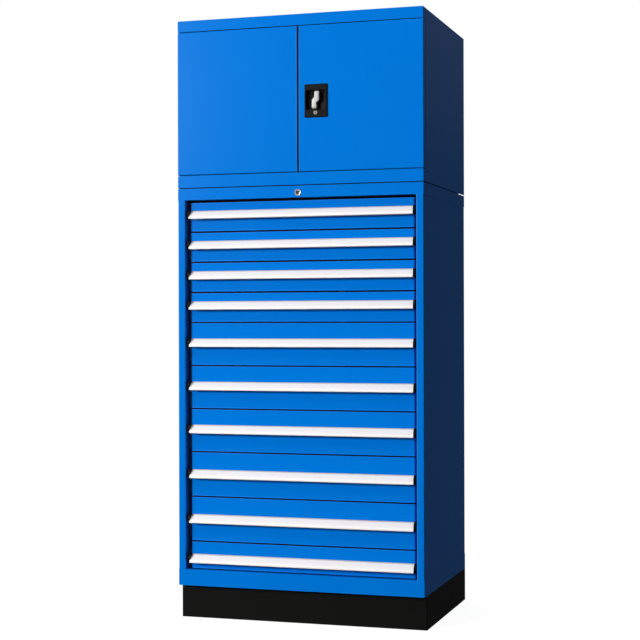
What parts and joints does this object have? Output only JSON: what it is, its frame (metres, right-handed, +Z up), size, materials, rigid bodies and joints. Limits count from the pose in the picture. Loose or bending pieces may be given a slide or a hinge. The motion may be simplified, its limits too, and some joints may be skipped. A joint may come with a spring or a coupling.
{
  "type": "microscope slide cabinet",
  "caption": "Tall steel slide cabinet: a two-door cupboard with a rod-locked turn handle above a column of full-extension drawers with one central lock, on a plinth.",
  "frame": {"origin": "centre of the footprint, on the floor", "axes": "+Z up, -Y out of the drawer fronts, +X to the right as seen from the front"},
  "size_m": [0.762, 0.554, 1.8],
  "materials": {
    "blue_paint": "satin powder coat, bright blue",
    "black_paint": "satin powder coat, black",
    "zinc_steel": "zinc plated",
    "black_plastic": "fine texture",
    "aluminium": "satin anodised, clear",
    "chrome": "polished",
    "cast_zinc": "satin, light grey"
  },
  "bodies": {
    "cabinet": {"plinth": "black_paint", "lower_shell": "blue_paint", "slide_uprights": "zinc_steel", "cabinet_slides": "zinc_steel", "lock_barrel": "chrome", "upper_shell": "blue_paint", "top_cap": "blue_paint", "shelf": "blue_paint", "shelf_clips": "zinc_steel", "door_catches": "black_plastic"},
    "drawer_01": {"drawer_01": "blue_paint", "drawer_01_handle": "aluminium", "drawer_01_end_caps": "black_plastic"},
    "drawer_01_runners": {"drawer_01_slides": "zinc_steel"},
    "drawer_02": {"drawer_02": "blue_paint", "drawer_02_handle": "aluminium", "drawer_02_end_caps": "black_plastic"},
    "drawer_02_runners": {"drawer_02_slides": "zinc_steel"},
    "drawer_03": {"drawer_03": "blue_paint", "drawer_03_handle": "aluminium", "drawer_03_end_caps": "black_plastic"},
    "drawer_03_runners": {"drawer_03_slides": "zinc_steel"},
    "drawer_04": {"drawer_04": "blue_paint", "drawer_04_handle": "aluminium", "drawer_04_end_caps": "black_plastic"},
    "drawer_04_runners": {"drawer_04_slides": "zinc_steel"},
    "drawer_05": {"drawer_05": "blue_paint", "drawer_05_handle": "aluminium", "drawer_05_end_caps": "black_plastic"},
    "drawer_05_runners": {"drawer_05_slides": "zinc_steel"},
    "drawer_06": {"drawer_06": "blue_paint", "drawer_06_handle": "aluminium", "drawer_06_end_caps": "black_plastic"},
    "drawer_06_runners": {"drawer_06_slides": "zinc_steel"},
    "drawer_07": {"drawer_07": "blue_paint", "drawer_07_handle": "aluminium", "drawer_07_end_caps": "black_plastic"},
    "drawer_07_runners": {"drawer_07_slides": "zinc_steel"},
    "drawer_08": {"drawer_08": "blue_paint", "drawer_08_handle": "aluminium", "drawer_08_end_caps": "black_plastic"},
    "drawer_08_runners": {"drawer_08_slides": "zinc_steel"},
    "drawer_09": {"drawer_09": "blue_paint", "drawer_09_handle": "aluminium", "drawer_09_end_caps": "black_plastic"},
    "drawer_09_runners": {"drawer_09_slides": "zinc_steel"},
    "drawer_10": {"drawer_10": "blue_paint", "drawer_10_handle": "aluminium", "drawer_10_end_caps": "black_plastic"},
    "drawer_10_runners": {"drawer_10_slides": "zinc_steel"},
    "lock_shaft": {"lock_shaft": "chrome"},
    "lock_bar": {"lock_bar": "zinc_steel"},
    "left_door": {"left_door": "blue_paint"},
    "right_door": {"right_door": "blue_paint", "handle_pan": "black_plastic", "rod_case": "zinc_steel"},
    "turn_grip": {"turn_grip": "cast_zinc"},
    "upper_rod": {"upper_rod": "zinc_steel"},
    "lower_rod": {"lower_rod": "zinc_steel"},
    "pan_lock_plug": {"pan_lock_plug": "chrome"}
  },
  "joints": [
    {"name": "drawer_01_pull", "type": "slide", "parent": "cabinet", "child": "drawer_01", "axis": [0, -1, 0], "range_m": [0, 0.45]},
    {"name": "drawer_01_runners_slide", "type": "slide", "parent": "cabinet", "child": "drawer_01_runners", "axis": [0, -1, 0], "range_m": [0, 0.225]},
    {"name": "drawer_02_pull", "type": "slide", "parent": "cabinet", "child": "drawer_02", "axis": [0, -1, 0], "range_m": [0, 0.45]},
    {"name": "drawer_02_runners_slide", "type": "slide", "parent": "cabinet", "child": "drawer_02_runners", "axis": [0, -1, 0], "range_m": [0, 0.225]},
    {"name": "drawer_03_pull", "type": "slide", "parent": "cabinet", "child": "drawer_03", "axis": [0, -1, 0], "range_m": [0, 0.45]},
    {"name": "drawer_03_runners_slide", "type": "slide", "parent": "cabinet", "child": "drawer_03_runners", "axis": [0, -1, 0], "range_m": [0, 0.225]},
    {"name": "drawer_04_pull", "type": "slide", "parent": "cabinet", "child": "drawer_04", "axis": [0, -1, 0], "range_m": [0, 0.45]},
    {"name": "drawer_04_runners_slide", "type": "slide", "parent": "cabinet", "child": "drawer_04_runners", "axis": [0, -1, 0], "range_m": [0, 0.225]},
    {"name": "drawer_05_pull", "type": "slide", "parent": "cabinet", "child": "drawer_05", "axis": [0, -1, 0], "range_m": [0, 0.45]},
    {"name": "drawer_05_runners_slide", "type": "slide", "parent": "cabinet", "child": "drawer_05_runners", "axis": [0, -1, 0], "range_m": [0, 0.225]},
    {"name": "drawer_06_pull", "type": "slide", "parent": "cabinet", "child": "drawer_06", "axis": [0, -1, 0], "range_m": [0, 0.45]},
    {"name": "drawer_06_runners_slide", "type": "slide", "parent": "cabinet", "child": "drawer_06_runners", "axis": [0, -1, 0], "range_m": [0, 0.225]},
    {"name": "drawer_07_pull", "type": "slide", "parent": "cabinet", "child": "drawer_07", "axis": [0, -1, 0], "range_m": [0, 0.45]},
    {"name": "drawer_07_runners_slide", "type": "slide", "parent": "cabinet", "child": "drawer_07_runners", "axis": [0, -1, 0], "range_m": [0, 0.225]},
    {"name": "drawer_08_pull", "type": "slide", "parent": "cabinet", "child": "drawer_08", "axis": [0, -1, 0], "range_m": [0, 0.45]},
    {"name": "drawer_08_runners_slide", "type": "slide", "parent": "cabinet", "child": "drawer_08_runners", "axis": [0, -1, 0], "range_m": [0, 0.225]},
    {"name": "drawer_09_pull", "type": "slide", "parent": "cabinet", "child": "drawer_09", "axis": [0, -1, 0], "range_m": [0, 0.45]},
    {"name": "drawer_09_runners_slide", "type": "slide", "parent": "cabinet", "child": "drawer_09_runners", "axis": [0, -1, 0], "range_m": [0, 0.225]},
    {"name": "drawer_10_pull", "type": "slide", "parent": "cabinet", "child": "drawer_10", "axis": [0, -1, 0], "range_m": [0, 0.45]},
    {"name": "drawer_10_runners_slide", "type": "slide", "parent": "cabinet", "child": "drawer_10_runners", "axis": [0, -1, 0], "range_m": [0, 0.225]},
    {"name": "lock_key", "type": "hinge", "parent": "cabinet", "child": "lock_shaft", "pos_m": [0, -0.273, 1.274], "axis": [0, 1, 0], "range_deg": [0, 90]},
    {"name": "lock_bar_lift", "type": "slide", "parent": "cabinet", "child": "lock_bar", "axis": [0, 0, 1], "range_m": [0, 0.011]},
    {"name": "left_door_swing", "type": "hinge", "parent": "cabinet", "child": "left_door", "pos_m": [-0.371, -0.262, 1.335], "axis": [0, 0, -1], "range_deg": [0, 110]},
    {"name": "right_door_swing", "type": "hinge", "parent": "cabinet", "child": "right_door", "pos_m": [0.371, -0.262, 1.335], "axis": [0, 0, 1], "range_deg": [0, 110]},
    {"name": "grip_turn", "type": "hinge", "parent": "right_door", "child": "turn_grip", "pos_m": [0.056, -0.273, 1.544], "axis": [0, 1, 0], "range_deg": [0, 90]},
    {"name": "upper_rod_slide", "type": "slide", "parent": "right_door", "child": "upper_rod", "axis": [0, 0, 1], "range_m": [0, 0.015]},
    {"name": "lower_rod_slide", "type": "slide", "parent": "right_door", "child": "lower_rod", "axis": [0, 0, -1], "range_m": [0, 0.015]},
    {"name": "pan_lock_turn", "type": "hinge", "parent": "right_door", "child": "pan_lock_plug", "pos_m": [0.056, -0.273, 1.5065], "axis": [0, 1, 0], "range_deg": [0, 90]}
  ],
  "couplings": [
    {"joint": "drawer_01_runners_slide", "follows": "drawer_01_pull", "ratio": 0.5},
    {"joint": "drawer_02_runners_slide", "follows": "drawer_02_pull", "ratio": 0.5},
    {"joint": "drawer_03_runners_slide", "follows": "drawer_03_pull", "ratio": 0.5},
    {"joint": "drawer_04_runners_slide", "follows": "drawer_04_pull", "ratio": 0.5},
    {"joint": "drawer_05_runners_slide", "follows": "drawer_05_pull", "ratio": 0.5},
    {"joint": "drawer_06_runners_slide", "follows": "drawer_06_pull", "ratio": 0.5},
    {"joint": "drawer_07_runners_slide", "follows": "drawer_07_pull", "ratio": 0.5},
    {"joint": "drawer_08_runners_slide", "follows": "drawer_08_pull", "ratio": 0.5},
    {"joint": "drawer_09_runners_slide", "follows": "drawer_09_pull", "ratio": 0.5},
    {"joint": "drawer_10_runners_slide", "follows": "drawer_10_pull", "ratio": 0.5},
    {"joint": "lock_key", "follows": "lock_bar_lift", "rad_per_m": 142.8},
    {"joint": "upper_rod_slide", "follows": "grip_turn", "m_per_rad": 0.009549},
    {"joint": "lower_rod_slide", "follows": "grip_turn", "m_per_rad": 0.009549}
  ]
}
